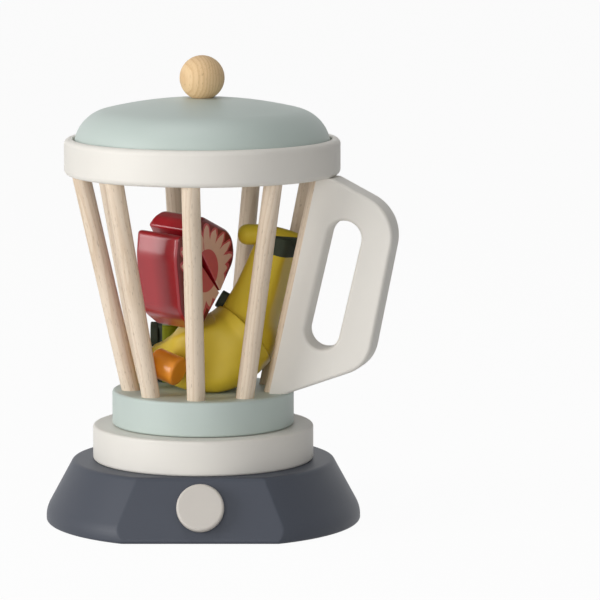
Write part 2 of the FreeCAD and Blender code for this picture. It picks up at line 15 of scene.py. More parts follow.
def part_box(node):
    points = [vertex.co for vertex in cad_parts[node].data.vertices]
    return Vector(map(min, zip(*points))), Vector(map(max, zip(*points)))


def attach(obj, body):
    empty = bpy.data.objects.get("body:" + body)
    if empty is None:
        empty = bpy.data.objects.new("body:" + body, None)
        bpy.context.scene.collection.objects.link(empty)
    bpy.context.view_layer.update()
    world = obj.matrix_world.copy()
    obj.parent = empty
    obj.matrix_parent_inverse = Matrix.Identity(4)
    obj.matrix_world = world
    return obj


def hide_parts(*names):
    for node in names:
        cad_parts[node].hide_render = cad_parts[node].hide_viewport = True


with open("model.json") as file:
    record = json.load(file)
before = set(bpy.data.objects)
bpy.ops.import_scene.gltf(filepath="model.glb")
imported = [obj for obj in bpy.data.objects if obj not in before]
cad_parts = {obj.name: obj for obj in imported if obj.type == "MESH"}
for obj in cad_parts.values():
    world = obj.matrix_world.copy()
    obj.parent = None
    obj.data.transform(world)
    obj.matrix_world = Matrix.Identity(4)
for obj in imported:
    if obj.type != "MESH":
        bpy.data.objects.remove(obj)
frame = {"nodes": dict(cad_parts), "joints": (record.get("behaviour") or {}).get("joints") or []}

bl_info = {
    "name": "Toy Blender",
    "version": (1, 0, 0),
    "blender": (4, 5, 0),
    "location": "View3D > Sidebar > Toy Blender",
    "description": "A wooden play blender with a jar of dowels and play food",
    "category": "Add Mesh",
}

MM = 0.001
OWN = "own_place"
REACH = "face_reach"
DOWELS = 9
JAR_TURN = math.radians(-14)
KNOB_SEAT = 0.3 * MM
KNOB_THICKNESS = 6 * MM
ROD_EASE = 0.5 * MM
# How close to the end of a flat stretch the point lies that keeps its shading flat.
HOLD = 0.3 * MM

# Stage: the sheet's corners; the camera's place, tilt and lens; what the lamps face, and
# the place, side and power of each; light of the room, and shade left on the paper.
SHEET_CORNERS = ((-6, -4, 0), (6, -4, 0), (6, 8, 0), (-6, 8, 0))
VIEW_FROM = (0.05341, -2.1787, 0.4179)
VIEW_DOWN = 7.741
SENSOR_WIDTH = 36.0
LENS = 240.0
VIEW_END = 40.0
LAMP_AIM = (0, 0, 0.12)
ROOM_LEVEL = 0.04
PAPER_SHADE = 0.04
LAMPS = {
    "key": ((-1.8, -0.9, 0.5), 1.0, 25.0),
    "front": ((-0.3, -2.1, 0.5), 1.2, 13.0),
    "top": ((-0.2, -0.2, 2.0), 1.2, 11.0),
    "fill": ((1.4, -1.8, 0.5), 1.4, 5.0),
}

# Wood: the far axis of its year rings, their width, and how far noise moves them, in
# years; how far the grain moves from dowel to dowel, and in the ball.
YEAR_AXIS = (0.028, -0.013)
YEAR_WIDTH = 0.0021
YEAR_DRIFT = 3.2
DOWEL_GRAIN = 0.11
BALL_GRAIN = -0.043
# Noise scales: swell and spray of a paint, and loops of felt.
SWELL = 95.0
PEBBLES = 1500.0
LOOPS = 2600.0

# Play food, in millimetres. Banana: stations (x, y, rise over the jar's floor, radius).
CHUNK = ((-28.2, 6, 19.8, 2.5), (-26.2, 6, 19.6, 5), (-21.1, 5, 18.6, 9.2),
         (-12.2, 2.5, 18.2, 16), (2.4, -2, 20.9, 20.8), (12.7, -2, 23.1, 21.8),
         (20.8, 0, 28.8, 21), (30, 1, 38.2, 20.5))
NECK = ((14, 1, 19.2, 20.3), (22.7, 1, 29.9, 19.4), (26, 1, 40.3, 16.6),
        (31.6, 1, 54.4, 14.1), (37.3, 1, 71.1, 12.2), (40.2, 1, 79, 11.5), (41.2, 1, 84.2, 11))
STEM = ((51.6, 1, 82.3, 3.9), (47, 1, 83.2, 4.6), (41, 1, 84.3, 5.2), (33, 1, 85.2, 5.7),
        (24.4, 1, 85.4, 5.7))
# Corners (up, back, round) of the banana's section below, and of its neck's from the
# left side round to the back, both in shares of the radius.
CHUNK_SECTION = ((1.0, 0, 0.35), (0.71, 0.78, 0.2), (-1.0, 0.9, 0.35), (-1.0, -1.0, 0.35),
                 (0.71, -0.78, 0.2))
NECK_SECTION = ((1.12, -0.43, 0.4), (0.43, 1.12, 0.4), (-1.12, 0.43, 0.4),
                (-0.43, -1.12, 0.4))
# How much of each section shows, (stations, shares); a point of the cut between the two
# pieces, the way it faces and its width; rounds on the chunk's and the stem's ends.
CHUNK_FADE = ((4.3, 6.2), (1, 0))
NECK_FADE = ((0.9, 2.6), (0, 1))
PART_POINT = (22.8, 1, 30.2)
PART_SLOPE = (0.75, 0.32, 0.66)
PART_GAP = 0.5
CHUNK_ROUND = 2.2
STEM_ROUND = 5.2
# Felt band round the neck: rise and slope of its lower and upper edge, where the rises
# are taken, and where the band starts. The green piece is felt up to its edge.
BAND_EDGES = ((73.8, 0.25), (84.8, 0.08))
BAND_MIDDLE = 45.0
BAND_START = 37.5
GREEN_FELT_EDGE = -4.4
# Felt pads: both ends of the axis, radius, and the node and slot each belongs to.
PADS = {
    "neck_pad": ((14.3, 1, 47.2), (8.9, 1, 50.3), 5, "banana_top", "yellow_paint"),
    "green_pad": ((-25.4, 25.9, 26.5), (-29.7, 25.9, 26.5), 7, "green_chunk",
                  "green_paint"),
}
PAD_ROUND = 0.6
# Berry: its tip, turn and tilt in degrees, depth, middle of the cut face, and corners
# (across, up, round) of that face: the whole outline, and the two parts that the slit
# leaves.
BERRY_TIP = (-0.5, -17.6, 35.2)
BERRY_TURN = 52.0
BERRY_TILT = 3.0
BERRY_DEPTH = 29.7
BERRY_MIDDLE = (2.6, 32.4)
BERRY_WHOLE = ((-0.9, -2.1, 5), (28.2, 36.2, 14), (24.7, 51.3, 14), (0, 62.3, 18),
               (-21.1, 56.6, 8), (-23.2, 40.5, 30), (-15.5, 10.5, 18))
BERRY_CROWN = ((15.4, 19.4, 0.8), (28.2, 36.2, 14), (24.7, 51.3, 14), (-1.4, 62.8, 8),
               (-8.8, 60.2, 6), (-12.4, 55.5, 1.6))
BERRY_CHEEK = ((15.1, 19.1, 0.8), (-21.9, 57.4, 3), (-23.2, 40.5, 26), (-17.3, 9, 15),
               (-1.0, -1.6, 5))
# Rounds on its front and back rims, and their share by the distance from the slit; the
# rings of its flat faces; how deep the print goes, the reach given to all points behind
# it, and the reach beyond which the skin shows.
BERRY_ROUNDS = (2.3, 2.4)
SLIT_EASE = ((2, 6), (0.3, 1))
FACE_SHARES = np.linspace(0.04, 0.98, 14)
FACE_DEPTH = 0.8
BEHIND = 2.0
SKIN_FROM = 1.5
# Its print, in shares of the outline's reach: number and depth of the spikes (plain, and
# by the cosine of one, two and three turns), where the flank is in radians, reach of
# flesh and of the line round it (above, and how much less on the flank), and how soft
# the edges are. The heart's half width and half height are in millimetres.
TEETH = 19
SPIKE_DEPTH = (0.182, 0.13, 0.043, -0.085)
FLANK = (1.25, 1.75)
FLESH_REACH = (0.885, 0.14)
LINE_REACH = (0.92, 0.11)
PRINT_EDGE = 0.008
HEART = (10.1, 11.9)
# Foot of the green piece, and both ends of the orange stub's axis.
GREEN_FOOT = (-18.7, 25.9, 0.1)
STUB = ((-25.9, -18.15, 17.8), (-12.2, -26.0, 13.2))


def tone(red, green, blue):
    """A display colour, 0 to 255 a channel, as the linear colour that shaders take."""
    share = np.array([red, green, blue]) / 255
    linear = np.where(share <= 0.04045, share / 12.92, ((share + 0.055) / 1.055) ** 2.4)
    return tuple(float(channel) for channel in linear)


def length(name, description, millimetres):
    """A length that a user sets, with its default in millimetres."""
    return FloatProperty(name=name, description=description, default=millimetres * MM,
                         unit="LENGTH")


def colour(name, description, *display):
    """A colour that a user sets, with its default as a display colour."""
    return FloatVectorProperty(name=name, description=description, subtype="COLOR",
                               size=3, min=0.0, max=1.0, default=tone(*display))


# ------------------------------------------------------------------ what a user sets

class ToyBlenderSizes(bpy.types.PropertyGroup):
    """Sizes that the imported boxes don't give."""
    edge_round: length("Edge round", "Round on the foot of the block and the knob", 1.5)
    base_taper: length("Base taper", "How far the block's cone narrows to its top", 14.9)
    base_foot_height: length("Base foot height", "Height of the block's straight foot", 6.5)
    base_waist_round: length("Base waist round", "Round where the foot meets the cone", 14)
    base_top_round: length("Base top round", "Round on the block's top edge", 2.5)
    facet_foot_cut: length("Flat foot cut", "Depth of the sloped flat's cut, below", 10.4)
    facet_head_cut: length("Flat head cut", "Depth of the sloped flat's cut, above", 8.5)
    crease_round: length("Crease round", "Round where the flat meets the cone", 3)
    dowel_radius: length("Dowel radius", "Radius of the cage's dowels", 5)
    dowel_foot: length("Dowel foot", "Reach of a dowel's axis at the jar's floor", 39.9)
    dowel_head: length("Dowel head", "Reach of a dowel's axis under the ring", 66.4)
    foot_depth: length("Foot depth", "Depth of a dowel in the floor disc", 11)
    head_depth: length("Head depth", "Depth of a dowel in the ring", 9)
    green_height: length("Green height", "Height of the green play piece", 32.4)
    green_radius: length("Green radius", "Radius of the green play piece", 8)
    stub_radius: length("Stub radius", "Radius of the orange play piece", 8.1)


class ToyBlenderColours(bpy.types.PropertyGroup):
    """Paints and woods."""
    slate: colour("Slate", "Paint of the base block", 55, 60, 71)
    white: colour("Off-white", "Paint of ring, handle and pedestal", 234, 230, 222)
    # Knob: the off-white with painted shade, darker than the other white so that the knob, which
    # faces the front lamp, renders less bright.
    knob: colour("Knob", "Paint of the knob", 208, 202, 194)
    mint: colour("Mint", "Paint of the lid and the jar's floor", 192, 204, 198)
    wood_pale: colour("Pale wood", "Early wood of the dowels", 236, 219, 198)
    wood_dark: colour("Dark wood", "Late wood and pores of the dowels", 203, 175, 143)
    ball_pale: colour("Pale ball", "Early wood of the ball", 240, 208, 162)
    ball_dark: colour("Dark ball", "Late wood and pores of the ball", 204, 158, 108)
    red: colour("Red", "Skin of the play strawberry", 160, 18, 30)
    flesh: colour("Flesh", "Cut face of the play strawberry", 222, 180, 162)
    heart: colour("Heart", "Middle of the play strawberry's cut face", 190, 78, 88)
    yellow: colour("Yellow", "Paint of the play banana", 206, 180, 52)
    orange: colour("Orange", "Paint of the orange stub", 236, 148, 40)
    green: colour("Green", "Paint of the green play piece", 128, 134, 12)
    felt: colour("Felt", "Hook-and-loop pads of the play food", 66, 72, 60)


# ------------------------------------------------------------------ surfaces

def wrapped_faces(rows, columns):
    """Quads of a grid whose columns run round: each joins a point, its neighbour in the
    ring and the same two in the next ring."""
    row, column = np.arange(rows - 1)[:, None], np.arange(columns)[None, :]
    across = (column + 1) % columns
    corners = (row * columns + column, row * columns + across,
               (row + 1) * columns + across, (row + 1) * columns + column)
    return np.stack(np.broadcast_arrays(*corners), -1).reshape(-1, 4)


def shell(rings):
    """A closed skin over a stack of rings: quads between them, and a fan over each end."""
    rows, columns = rings.shape[:2]
    points = np.vstack([rings.reshape(-1, 3), rings[0].mean(0), rings[-1].mean(0)])
    here = np.arange(columns)
    there = (here + 1) % columns
    last = (rows - 1) * columns
    foot = np.stack([there, here, np.full(columns, rows * columns)], -1)
    head = np.stack([last + here, last + there, np.full(columns, rows * columns + 1)], -1)
    return points, [wrapped_faces(rows, columns), foot, head]


def turns(count):
    """Even turns once round, in radians."""
    return np.linspace(0, 2 * math.pi, count, endpoint=False)


def lathe(profile, count=192):
    """A profile of (reach, height) pairs carried round the Z axis."""
    profile, turn = np.asarray(profile), turns(count)
    reach, height = profile[:, :1], profile[:, 1:]
    return np.stack([reach * np.cos(turn), reach * np.sin(turn),
                     np.broadcast_to(height, (len(profile), count))], -1)


def corner_arc(before, corner, after, radius, steps):
    """Points of the arc of that radius that touches both sides of a corner."""
    to_before, to_after = before - corner, after - corner
    to_before, to_after = to_before / np.hypot(*to_before), to_after / np.hypot(*to_after)
    half = math.acos(max(-1.0, min(1.0, float(to_before @ to_after)))) / 2
    middle = (to_before + to_after) / np.hypot(*(to_before + to_after))
    centre = corner + middle * radius / math.sin(half)
    start = corner + to_before * radius / math.tan(half)
    end = corner + to_after * radius / math.tan(half)
    first, last = (math.atan2(*(p - centre)[::-1]) for p in (start, end))
    sweep = (last - first + math.pi) % (2 * math.pi) - math.pi
    turn = first + sweep * np.linspace(0, 1, steps)
    return centre + radius * np.stack([np.cos(turn), np.sin(turn)], -1)


def rounded(corners, radii, steps=7, closed=False):
    """A line through corners, each rounded by its radius; 0 leaves a corner sharp."""
    corners = np.asarray(corners, float)
    points = []
    for i, radius in enumerate(radii):
        ends = not closed and i in (0, len(corners) - 1)
        if radius <= 0 or ends:
            points.append(corners[i][None])
            continue
        points.append(corner_arc(corners[i - 1], corners[i],
                                 corners[(i + 1) % len(corners)], radius, steps))
    return np.vstack(points)


def rounded_mm(corners):
    """The closed line through rows of millimetres (across, up, round)."""
    rows = np.array(corners) * MM
    return rounded(rows[:, :2], rows[:, 2], 13, closed=True)


def held(points, closed=False):
    """The line with one more point close to both ends of each long straight stretch, so
    that smooth shading doesn't bend the flats."""
    starts = points if closed else points[:-1]
    ends = np.roll(points, -1, 0) if closed else points[1:]
    run = np.hypot(*(ends - starts).T)
    parts = []
    for start, end, span in zip(starts, ends, run):
        shares = [0, HOLD / span, 1 - HOLD / span] if span > 4 * HOLD else [0]
        parts.append(start + (end - start) * np.array(shares)[:, None])
    return np.vstack(parts if closed else parts + [points[-1:]])


def outward(outline):
    """Unit normals of a closed flat outline, on its right-hand side as it runs."""
    along = np.roll(outline, -1, 0) - np.roll(outline, 1, 0)
    along /= np.hypot(*along.T)[:, None]
    return np.stack([along[:, 1], -along[:, 0]], -1)


def quarter(radius, steps=6):
    """Inset and depth of a round edge's points, from the face to the wall."""
    turn = np.linspace(0, math.pi / 2, steps)
    return np.stack([radius * (1 - np.sin(turn)), radius * (1 - np.cos(turn))], -1)


def slab(outline, thickness, front_round, back_round, shares, ease):
    """A flat outline given thickness: rings shrink to its middle on both faces, and the
    outline moves in along its normals by each edge's quarter round, times each point's
    own ease. The rings are in (across, depth, up)."""
    normals, middle = outward(outline), outline.mean(0)
    front, back = quarter(front_round), quarter(back_round)[::-1]
    insets = np.concatenate([front[:, 0], (0, 0), back[:, 0]])
    wall = front_round + HOLD, thickness - back_round - HOLD
    depths = np.concatenate([front[:, 1], wall, thickness - back[:, 1]])
    edge = outline - (normals * ease[:, None]) * insets[:, None, None]
    first = middle + (edge[0] - middle) * shares[:, None, None]
    last = middle + (edge[-1] - middle) * shares[::-1, None, None]
    flat = np.concatenate([first, edge, last])
    depth = np.concatenate([np.zeros(len(shares)), depths, np.full(len(shares), thickness)])
    return np.stack([flat[..., 0], np.broadcast_to(depth[:, None], flat.shape[:2]),
                     flat[..., 1]], -1)


def disc_section(radius, thickness, edge):
    """Half section of a disc whose rims are rounded, from its middle below to above."""
    inner = 0.02 * radius
    corners = [(inner, 0), (radius, 0), (radius, thickness), (inner, thickness)]
    return held(rounded(corners, (0, edge, edge, 0)))


def rod_section(radius, long):
    """Half section of a rod with eased ends."""
    inner, rim = 0.05 * radius, radius - ROD_EASE
    return held(np.array([(inner, 0), (rim, 0), (radius, ROD_EASE),
                          (radius, long - ROD_EASE), (rim, long), (inner, long)]))


def soft_least(first, second, blend):
    """The lesser of two lengths, with the crossing eased over the blend length."""
    share = np.clip(0.5 + 0.5 * (second - first) / blend, 0, 1)
    return second + (first - second) * share - blend * share * (1 - share)


def sloped_reach(height, foot, head, total, top_round, foot_round):
    """Reach of a wall that leans in from foot to head, with both its edges rounded: a
    straight line, and near each end the arc that touches it and the level face."""
    lean = (foot - head) / total
    slant = math.hypot(1, lean)
    reach = foot - lean * height
    top_level, foot_level = total - top_round, foot_round
    top_in = foot - lean * top_level - top_round * slant
    foot_in = foot - lean * foot_level - foot_round * slant
    over = np.clip(height - top_level, 0, top_round)
    under = np.clip(foot_level - height, 0, foot_round)
    top_arc = top_in + np.sqrt(top_round ** 2 - over ** 2)
    foot_arc = foot_in + np.sqrt(foot_round ** 2 - under ** 2)
    reach = np.where(height > top_level + top_round * lean / slant, top_arc, reach)
    return np.where(height < foot_level + foot_round * lean / slant, foot_arc, reach)


def smooth_through(stations, steps):
    """A Catmull-Rom line through rows of numbers, each station one row."""
    rows = np.asarray(stations, float)
    rows = np.vstack([2 * rows[0] - rows[1], rows, 2 * rows[-1] - rows[-2]])
    at = np.linspace(0, len(stations) - 1, steps)
    first = np.minimum(at.astype(int), len(stations) - 2)
    part = (at - first)[:, None]
    a, b, c, d = (rows[first + i] for i in range(4))
    return b + 0.5 * part * (c - a + part * (2 * a - 5 * b + 4 * c - d
                                             + part * (3 * (b - c) + d - a)))


def tube(stations, steps, count=72):
    """Rings of a round body through stations of (x, y, z, radius), square to its line."""
    line = smooth_through(stations, steps)
    spine, radius = line[:, :3], line[:, 3:]
    ahead = np.gradient(spine, axis=0)
    ahead /= np.linalg.norm(ahead, axis=1)[:, None]
    side = np.cross(ahead, (0.0, 1.0, 0.0))
    side /= np.linalg.norm(side, axis=1)[:, None]
    up = np.cross(side, ahead)
    turn = turns(count)[:, None]
    return (spine[:, None] + (radius[:, None] * np.cos(turn)) * side[:, None]
            + (radius[:, None] * np.sin(turn)) * up[:, None])


def blunt(rings, inset, steps=6):
    """The stack with its last ring rounded off: copies of it shrink along a quarter
    circle and go on by the same depth."""
    middle = rings[-1].mean(0)
    reach = np.linalg.norm(rings[-1] - middle, axis=1).mean()
    ahead = middle - rings[-2].mean(0)
    ahead /= np.linalg.norm(ahead)
    turn = np.linspace(0, math.pi / 2, steps)[1:]
    share = 1 - inset * (1 - np.cos(turn)) / reach
    flat = share[-1] * np.array([0.98, 0.6, 0.1])
    share = np.concatenate([share, flat])
    depth = inset * np.concatenate([np.sin(turn), np.ones_like(flat)])
    more = middle + (rings[-1] - middle) * share[:, None, None] + ahead * depth[:, None, None]
    return np.concatenate([rings, more])


def trimmed(rings, point, normal, rows=48):
    """The rings' columns from where each crosses a plane: its start slides along the
    column to the crossing. A flat cut face with an eased rim closes them."""
    past = (rings - point) @ normal
    last, columns = len(rings) - 1, np.arange(rings.shape[1])
    after = np.argmax(past > 0, axis=0)
    before = after - 1
    low, high = past[before, columns], past[after, columns]
    start = before - low / (high - low)
    share = np.concatenate([[0, 0.004, 0.012, 0.03], np.linspace(0.06, 1, rows)])[:, None]
    at = start + (last - start) * share
    first = np.minimum(at.astype(int), last - 1)
    part = (at - first)[..., None]
    body = rings[first, columns] * (1 - part) + rings[first + 1, columns] * part
    middle = body[0].mean(0)
    body[0] = middle + (body[0] - middle) * 0.982
    face = middle + (body[0] - middle) * np.array([0.1, 0.6, 0.97, 0.995])[:, None, None]
    return np.concatenate([face, body])


def section_reach(section, count):
    """Reach of a closed polygon with rounded corners at even turns, from its first axis
    towards its second; its corners are (first, second, round)."""
    rows = np.array(section)
    line = rounded(rows[:, :2], rows[:, 2], 9, closed=True)
    ends = np.roll(line, -1, 0)
    line = np.concatenate([line + (ends - line) * share for share in np.linspace(0, 0.95, 20)])
    turn = np.arctan2(line[:, 1], line[:, 0])
    order = np.argsort(turn)
    return np.interp(turns(count), turn[order], np.hypot(*line.T)[order],
                     period=2 * math.pi)


def banana_rings(stations, section, fade):
    """A round body whose rings are stretched from its line by the section's reach, in
    the shares that the fade gives at two places along the stations."""
    rings = tube(stations, 64)
    at = np.linspace(0, len(stations) - 1, len(rings))
    share = np.interp(at, *fade)[:, None]
    reach = 1 + (section_reach(section, rings.shape[1]) - 1) * share
    spine = rings.mean(1, keepdims=True)
    return spine + (rings - spine) * reach[:, :, None]


def face_reach(rings, outline):
    """Each point's distance from the face's middle, as a share of the outline's distance
    in the same direction; a fixed number behind the face."""
    middle = np.array(BERRY_MIDDLE) * MM
    rim = outline - middle
    turn = np.arctan2(rim[:, 1], rim[:, 0])
    order = np.argsort(turn)
    off = rings[..., [0, 2]] - middle
    far = np.interp(np.arctan2(off[..., 1], off[..., 0]), turn[order],
                    np.hypot(*rim.T)[order], period=2 * math.pi)
    share = np.hypot(off[..., 0], off[..., 1]) / far
    return np.where(rings[..., 1] < FACE_DEPTH * MM, share, BEHIND)


# ------------------------------------------------------------------ materials

class Value:
    """A node's output; arithmetic on it adds Math nodes."""

    def __init__(self, tree, socket):
        self.tree, self.socket = tree, socket

    def output(self, name):
        """Another output of the same node."""
        return Value(self.tree, self.socket.node.outputs[name])

    def math(self, operation, *others):
        return self.tree.node("ShaderNodeMath", {"operation": operation},
                              dict(enumerate((self, *others))))

    def __add__(self, other):
        return self.math("ADD", other)

    def __sub__(self, other):
        return self.math("SUBTRACT", other)

    def __rsub__(self, other):
        return (self * -1).math("ADD", other)

    def __mul__(self, other):
        return self.math("MULTIPLY", other)

    def __truediv__(self, other):
        return self.math("DIVIDE", other)

    def __pow__(self, other):
        return self.math("POWER", other)

    __radd__, __rmul__ = __add__, __mul__

    def over(self, limit):
        return self.math("GREATER_THAN", limit)

    def eased(self, low, high):
        """0 below low, 1 above high, and a smooth step between."""
        return self.tree.node("ShaderNodeMapRange", {"interpolation_type": "SMOOTHSTEP"},
                              {"Value": self, "From Min": low, "From Max": high})


class Tree:
    """A node tree whose nodes and links all come from one method."""

    def __init__(self, node_tree):
        self.nodes, self.links = node_tree.nodes, node_tree.links

    def node(self, kind, settings=None, inputs=None, output=0):
        """A node of that kind: its settings first, then the values or links it takes."""
        node = self.nodes.new(kind)
        for name, setting in (settings or {}).items():
            setattr(node, name, setting)
        for name, given in (inputs or {}).items():
            self.feed(node.inputs[name], given)
        return Value(self, node.outputs[output])

    def feed(self, socket, given):
        """Link a value to a socket, or set the socket to a colour or a number."""
        if isinstance(given, Value):
            self.links.new(given.socket, socket)
        elif isinstance(given, tuple) and socket.type == "RGBA":
            socket.default_value = (*given, 1.0)
        else:
            socket.default_value = given

    def seen(self):
        """1 for the camera's rays and for those that gloss and glass send on, else 0."""
        rays = self.node("ShaderNodeLightPath", output="Is Camera Ray")
        return (rays + rays.output("Is Glossy Ray")
                + rays.output("Is Transmission Ray")).math("MINIMUM", 1.0)


class Finish(Tree):
    """A material's node tree around one Principled shader."""

    def __init__(self, name, constants=None):
        self.material = bpy.data.materials.new(name)
        self.material.use_nodes = True
        super().__init__(self.material.node_tree)
        self.shader = self.nodes["Principled BSDF"]
        for socket, given in (constants or {}).items():
            self.set(socket, given)

    def set(self, socket, given):
        self.feed(self.shader.inputs[socket], given)

    def own_place(self):
        """Where a point lies in its piece's own frame."""
        return self.node("ShaderNodeAttribute", {"attribute_name": OWN}, output="Vector")

    def object_place(self):
        """Where a point lies in its object's frame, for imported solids."""
        return self.node("ShaderNodeTexCoord", output="Object")

    def scaled(self, place, *factors):
        return self.node("ShaderNodeVectorMath", {"operation": "MULTIPLY"},
                         {0: place, 1: factors})

    def parts(self, place):
        """The three coordinates of a place."""
        x = self.node("ShaderNodeSeparateXYZ", None, {0: place})
        return x, x.output("Y"), x.output("Z")

    def noise(self, place, scale, detail=2.0, roughness=0.5):
        return self.node("ShaderNodeTexNoise", None,
                         {"Vector": place, "Scale": scale, "Detail": detail,
                          "Roughness": roughness})

    def mix(self, share, first, second):
        """From the first colour to the second as the share goes from 0 to 1."""
        return self.node("ShaderNodeMix", {"data_type": "RGBA"},
                         {0: share, 6: first, 7: second}, output=2)

    def relief(self, height, depth):
        """Bump of that depth, in metres, on the shader's normal."""
        self.set("Normal", self.node("ShaderNodeBump", None,
                                     {"Height": height, "Distance": depth}))


def shaded(colour_value, factor):
    """A colour made darker or lighter by a plain factor."""
    return tuple(min(1.0, channel * factor) for channel in colour_value)


def fibres(finish, place, grain):
    """Fine fibres: noise drawn out along the grain axis, about 0.4 mm by 20 mm."""
    across, along = 2200, 60
    factors = [across] * 3
    factors["XYZ".index(grain)] = along
    return finish.noise(finish.scaled(place, *factors), 1.0, 3.0, 0.55)


def bare_wood(name, pale, dark, place_of=Finish.own_place):
    """Pale close-grained wood, grain along Z: shells of late wood round a far axis, fine
    fibres, and short dark flecks."""
    finish = Finish(name, {"Specular IOR Level": 0.35})
    place = place_of(finish)
    x, y, _ = finish.parts(place)
    drift = finish.noise(finish.scaled(place, 60, 60, 12), 1.0, 2.0)
    far = ((x - YEAR_AXIS[0]) ** 2.0 + (y - YEAR_AXIS[1]) ** 2.0) ** 0.5
    year = (far / YEAR_WIDTH + drift * YEAR_DRIFT).math("FRACT")
    late = year.eased(0.35, 1.0) * (1 - year.eased(0.96, 1.0))
    thread = fibres(finish, place, "Z")
    flecks = finish.noise(finish.scaled(place, 1900, 1900, 260), 1.0, 1.0).eased(0.64, 0.74)
    share = late * 0.34 + (thread - 0.35) * 0.55 + (drift - 0.5) * 0.5
    ground = finish.mix(share, tuple(pale), tuple(dark))
    finish.set("Base Color", finish.mix(flecks * 0.45, ground, shaded(dark, 0.62)))
    finish.set("Roughness", 0.5 + thread * 0.16)
    finish.relief(thread + flecks * -0.7, 0.00004)
    return finish.material


def painted_wood(name, paint, grain, place_of=Finish.own_place, roughness=0.5,
                 depth=0.00002):
    """A sprayed coat over wood: the colour drifts by a percent or two, the sheen is a
    little uneven, and the fibres under it and the spray's pebbling show as relief."""
    finish = Finish(name, {"Specular IOR Level": 0.45})
    place = place_of(finish)
    paint = tuple(paint)
    drift = finish.noise(place, 42.0, 3.0)
    thread = fibres(finish, place, grain)
    pebble = finish.noise(place, PEBBLES, 2.0)
    share = drift * 0.7 + thread * 0.3
    finish.set("Base Color", finish.mix(share, shaded(paint, 0.955), shaded(paint, 1.03)))
    finish.set("Roughness", roughness + (drift - 0.5) * 0.10 + (pebble - 0.5) * 0.06)
    finish.relief(thread * 0.7 + pebble * 0.5, depth)
    return finish.material


def glossy_paint(name, paint, roughness, coat):
    """Thick glossy enamel with a faint swell and slight brush drag."""
    finish = Finish(name, {"Coat Weight": coat, "Coat Roughness": 0.12,
                           "Specular IOR Level": 0.3})
    place = finish.own_place()
    paint = tuple(paint)
    swell = finish.noise(place, SWELL, 2.0)
    drag = fibres(finish, place, "Z")
    finish.set("Base Color", finish.mix(swell * 0.8 + drag * 0.2, shaded(paint, 0.9),
                                        shaded(paint, 1.06)))
    finish.set("Roughness", roughness + (drag - 0.5) * 0.08)
    finish.relief(swell + drag * 0.06, 0.00012)
    return finish.material


def felt_pad(name, paint):
    """Short dense loops: a fine mottle in colour and relief."""
    finish = Finish(name, {"Roughness": 0.95, "Specular IOR Level": 0.1})
    loops = finish.noise(finish.own_place(), LOOPS, 4.0, 0.7)
    finish.set("Base Color", finish.mix(loops, shaded(paint, 0.55), shaded(paint, 1.35)))
    finish.relief(loops, 0.0003)
    return finish.material


def neck_band(finish, place):
    """1 between the felt band's slanted edges, from where it starts."""
    x, _, z = finish.parts(place)
    low, high = (z - floor_level() - rise * MM + (x - BAND_MIDDLE * MM) * slope
                 for rise, slope in BAND_EDGES)
    return low.over(0) * (1 - high.over(0)) * x.over(BAND_START * MM)


def green_side(finish, place):
    """1 on the side of the green piece that is felt."""
    x, _, _ = finish.parts(place)
    return 1 - x.over(GREEN_FELT_EDGE * MM)


def painted_pads(name, paint, felt, rule):
    """Enamel with hook-and-loop pads where the rule, a mask from the own place, is 1."""
    finish = Finish(name, {"Specular IOR Level": 0.15})
    place = finish.own_place()
    mask = rule(finish, place)
    swell = finish.noise(place, SWELL, 2.0)
    loops = finish.noise(place, LOOPS, 4.0, 0.7)
    enamel = finish.mix(swell, shaded(paint, 0.92), shaded(paint, 1.05))
    pad = finish.mix(loops, shaded(felt, 0.6), shaded(felt, 1.3))
    finish.set("Base Color", finish.mix(mask, enamel, pad))
    finish.set("Roughness", 0.42 + mask * 0.5)
    finish.relief(swell * (1 - mask) + loops * mask, 0.0001)
    return finish.material


def berry_face(name, colours):
    """Printed section of a berry. Its pale flesh runs out in rounded spikes, deep above
    and shallow on the flank, each with a pink outline; skin beyond, darkened on the face as
    painted shade, and a heart inside."""
    finish = Finish(name, {"Coat Roughness": 0.2})
    place = finish.own_place()
    across, _, up = finish.parts(place)
    reach = finish.node("ShaderNodeAttribute", {"attribute_name": REACH}, output="Fac")
    across, height = across - BERRY_MIDDLE[0] * MM, up - BERRY_MIDDLE[1] * MM
    turn = across.math("ARCTAN2", height)
    wobble = finish.noise(place, 240.0, 1.0)
    valley = (turn * (TEETH / (2 * math.pi)) + wobble * 0.3).math("PINGPONG", 0.5) * 2
    plain, once, twice, thrice = SPIKE_DEPTH
    deep = (plain + turn.math("COSINE") * once + (turn * 2).math("COSINE") * twice
            + (turn * 3).math("COSINE") * thrice)
    flank = turn.math("ABSOLUTE").eased(*FLANK)
    spikes = FLESH_REACH[0] - flank * FLESH_REACH[1] - deep * valley ** 1.5
    line = (LINE_REACH[0] - flank * LINE_REACH[1]
            - deep * (valley - 0.25).math("MAXIMUM", 0.0) ** 1.5)
    heart_far = ((across / (HEART[0] * MM)) ** 2.0 + (height / (HEART[1] * MM)) ** 2.0) ** 0.5
    flesh = finish.mix(wobble, shaded(colours.flesh, 0.92), shaded(colours.flesh, 1.05))
    rose = finish.mix(wobble, tuple(colours.heart), shaded(colours.heart, 1.12))
    face = finish.mix(heart_far.eased(0.97, 1.03), rose, flesh)
    face = finish.mix((reach - spikes).eased(-PRINT_EDGE, PRINT_EDGE), face, rose)
    # Beyond the line, the skin's red at 0.45: painted shade on the cut face, which turns from the
    # light.
    face = finish.mix((reach - line).eased(-PRINT_EDGE, PRINT_EDGE), face,
                      shaded(colours.red, 0.45))
    skin = reach.over(SKIN_FROM)
    finish.set("Base Color", finish.mix(skin, face, tuple(colours.red)))
    finish.set("Roughness", 0.36 - skin * 0.08 + wobble * 0.06)
    finish.set("Coat Weight", 0.2 + skin * 0.3)
    finish.relief(wobble + fibres(finish, place, "Z") * 0.1, 0.00006)
    return finish.material


